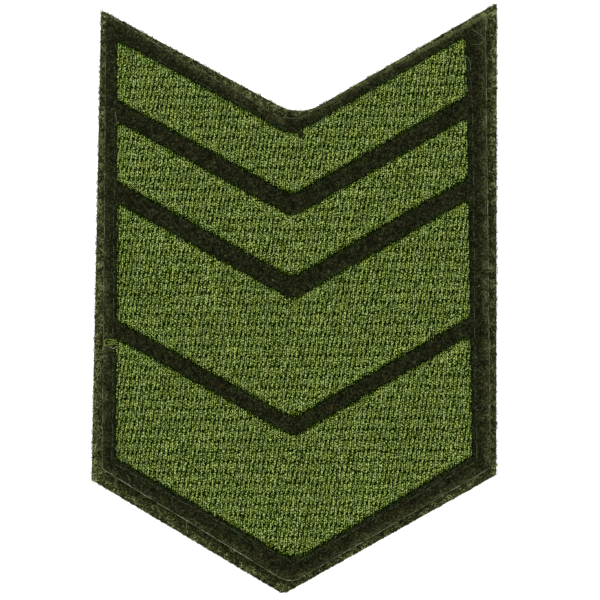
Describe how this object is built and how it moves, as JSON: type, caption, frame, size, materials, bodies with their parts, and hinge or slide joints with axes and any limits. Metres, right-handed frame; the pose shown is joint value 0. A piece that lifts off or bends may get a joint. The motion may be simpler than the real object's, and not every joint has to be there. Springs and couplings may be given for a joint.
{
  "type": "service stripe patch",
  "caption": "Embroidered sleeve patch with green chevron stripes on dark felt, backed by a hook panel that lies fastened on a slightly larger loop panel.",
  "frame": {"origin": "middle of the patch's outline, on the surface that its back lies on", "axes": "+X across the patch to the right of someone looking at its face, +Y up the patch towards the notch, +Z out of the embroidered face"},
  "size_m": [0.0768, 0.1108, 0.0047],
  "materials": {
    "loop_cloth": "dull olive knitted loop pile",
    "hook_cloth": "dark olive woven nylon with hooks",
    "felt": "matt dark olive felt with a fused cut edge",
    "green_thread": "satin olive green embroidery thread",
    "seam_thread": "grey green sewing thread"
  },
  "bodies": {
    "root": {"loop_panel": "loop_cloth", "hook_panel": "hook_cloth", "felt_ground": "felt", "upper_narrow_stripe": "green_thread", "lower_narrow_stripe": "green_thread", "wide_stripe": "green_thread", "base_stripe": "green_thread"}
  },
  "joints": []
}
